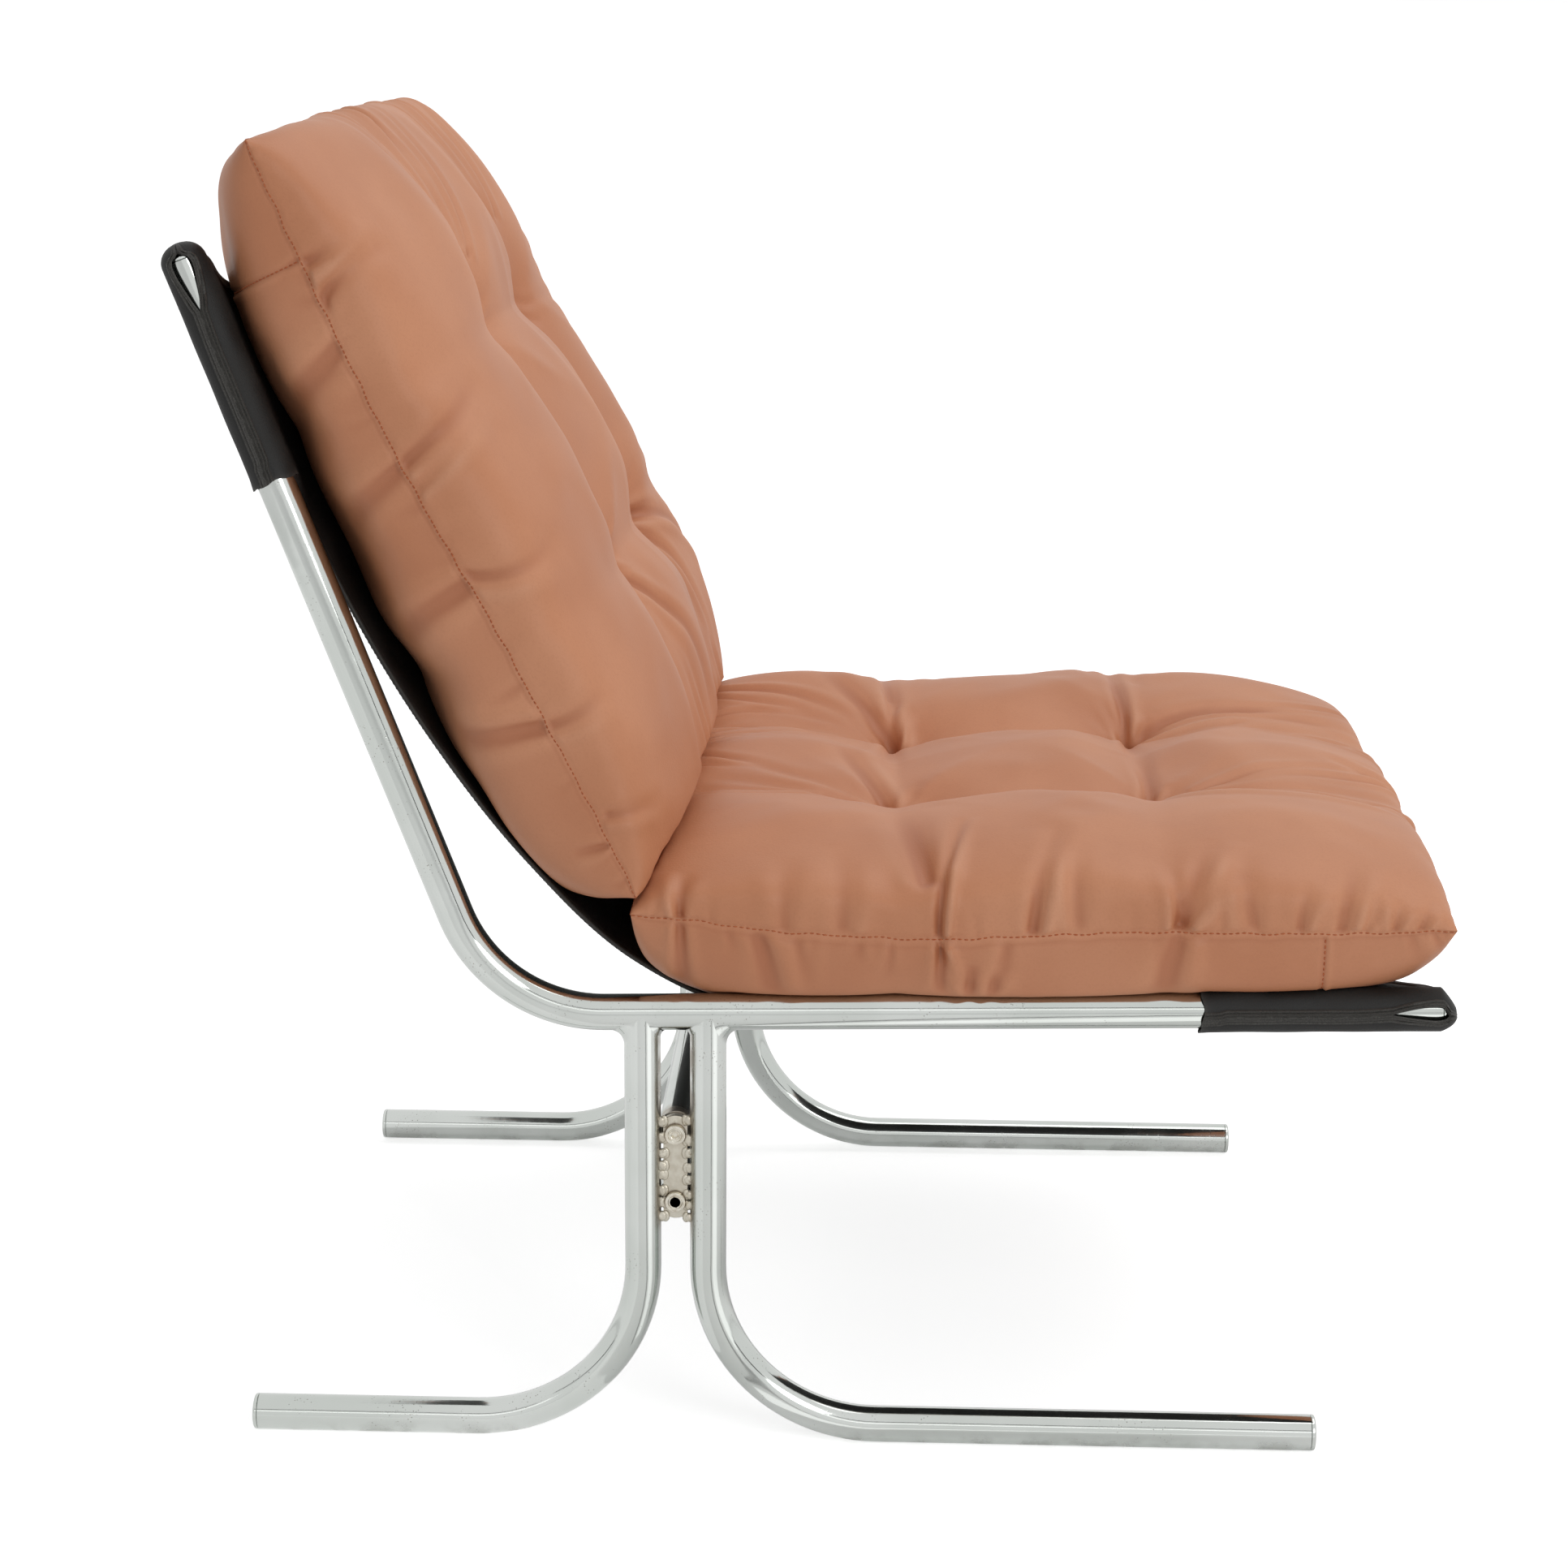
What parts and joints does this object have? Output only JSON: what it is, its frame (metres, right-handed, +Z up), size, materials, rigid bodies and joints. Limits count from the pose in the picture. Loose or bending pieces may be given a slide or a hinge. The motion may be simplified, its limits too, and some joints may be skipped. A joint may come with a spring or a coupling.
{
  "type": "cantilever lounge chair",
  "caption": "Low cantilever lounge chair with bent chromed tube side frames, a black hanging sling and loose tufted tan leather cushions for seat and back.",
  "frame": {"origin": "on the floor under the middle of the chair's outline", "axes": "+X forward, the way a sitter faces; +Y to the sitter's left; +Z up from the floor"},
  "size_m": [0.8552, 0.612, 0.9048],
  "materials": {
    "frame_chrome": "bright chrome plate, lightly worn",
    "braze_metal": "plated braze metal, slightly dull",
    "plate_steel": "warm plated steel with weld beads",
    "screw_steel": "nickel plated",
    "plug_steel": "turned steel",
    "sling_hide": "smooth black, double stitched",
    "cushion_leather": "soft satin tan with fine grain"
  },
  "bodies": {
    "root": {"seat_back_rail_right": "frame_chrome", "seat_back_rail_left": "frame_chrome", "upright_end_cap_right": "frame_chrome", "upright_end_cap_left": "frame_chrome", "rail_end_cap_right": "frame_chrome", "rail_end_cap_left": "frame_chrome", "rear_leg_right": "frame_chrome", "rear_leg_left": "frame_chrome", "front_leg_right": "frame_chrome", "front_leg_left": "frame_chrome", "rear_foot_cap_right": "frame_chrome", "rear_foot_cap_left": "frame_chrome", "front_foot_cap_right": "frame_chrome", "front_foot_cap_left": "frame_chrome", "rear_leg_braze_right": "braze_metal", "rear_leg_braze_left": "braze_metal", "front_leg_braze_right": "braze_metal", "front_leg_braze_left": "braze_metal", "leg_plate_right": "plate_steel", "leg_plate_left": "plate_steel", "rear_plate_weld_right": "plate_steel", "rear_plate_weld_left": "plate_steel", "front_plate_weld_right": "plate_steel", "front_plate_weld_left": "plate_steel", "upper_screw_right": "screw_steel", "upper_screw_left": "screw_steel", "lower_screw_right": "screw_steel", "lower_screw_left": "screw_steel", "upper_stretcher_plug_right": "plug_steel", "upper_stretcher_plug_left": "plug_steel", "lower_stretcher_plug_right": "plug_steel", "lower_stretcher_plug_left": "plug_steel", "back_sleeve_right": "sling_hide", "back_sleeve_left": "sling_hide", "seat_sleeve_right": "sling_hide", "seat_sleeve_left": "sling_hide", "upper_stretcher": "frame_chrome", "lower_stretcher": "frame_chrome", "sling_panel": "sling_hide", "seat_cushion": "cushion_leather", "back_cushion": "cushion_leather"}
  },
  "joints": []
}
